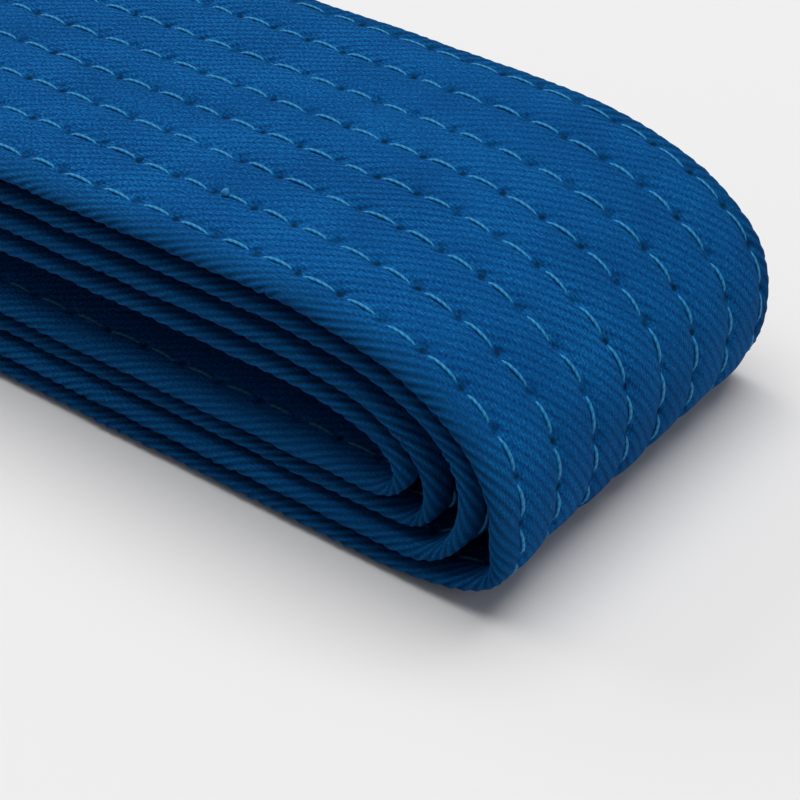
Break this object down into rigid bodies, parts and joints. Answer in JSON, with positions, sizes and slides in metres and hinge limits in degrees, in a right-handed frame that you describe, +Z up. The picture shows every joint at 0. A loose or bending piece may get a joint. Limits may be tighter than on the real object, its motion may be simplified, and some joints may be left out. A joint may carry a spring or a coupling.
{
  "type": "martial arts belt",
  "caption": "Quilted cotton martial arts belt wound flat into a long packet, with nested folds at both ends and stitch rows along its length.",
  "frame": {"origin": "middle of the packet's footprint, on the surface it lies on", "axes": "+X along the packet towards the end where all four folds are nested, +Y across the belt's width, +Z up"},
  "size_m": [0.334, 0.04, 0.0212],
  "materials": {
    "twill": "blue cotton twill, matt",
    "core_cotton": "undyed cotton, matt",
    "stitch_thread": "light blue polyester thread, slight sheen"
  },
  "bodies": {
    "root": {"cover": "twill", "core_ply_outer": "core_cotton", "core_ply_inner": "core_cotton", "needle_thread_1": "stitch_thread", "needle_thread_2": "stitch_thread", "needle_thread_3": "stitch_thread", "needle_thread_4": "stitch_thread", "needle_thread_5": "stitch_thread", "needle_thread_6": "stitch_thread", "needle_thread_7": "stitch_thread", "needle_thread_8": "stitch_thread", "bobbin_thread_1": "stitch_thread", "bobbin_thread_2": "stitch_thread", "bobbin_thread_3": "stitch_thread", "bobbin_thread_4": "stitch_thread", "bobbin_thread_5": "stitch_thread", "bobbin_thread_6": "stitch_thread", "bobbin_thread_7": "stitch_thread", "bobbin_thread_8": "stitch_thread", "end_stitch_inner_needle": "stitch_thread", "end_stitch_inner_bobbin": "stitch_thread", "end_stitch_outer_needle": "stitch_thread", "end_stitch_outer_bobbin": "stitch_thread"}
  },
  "joints": []
}
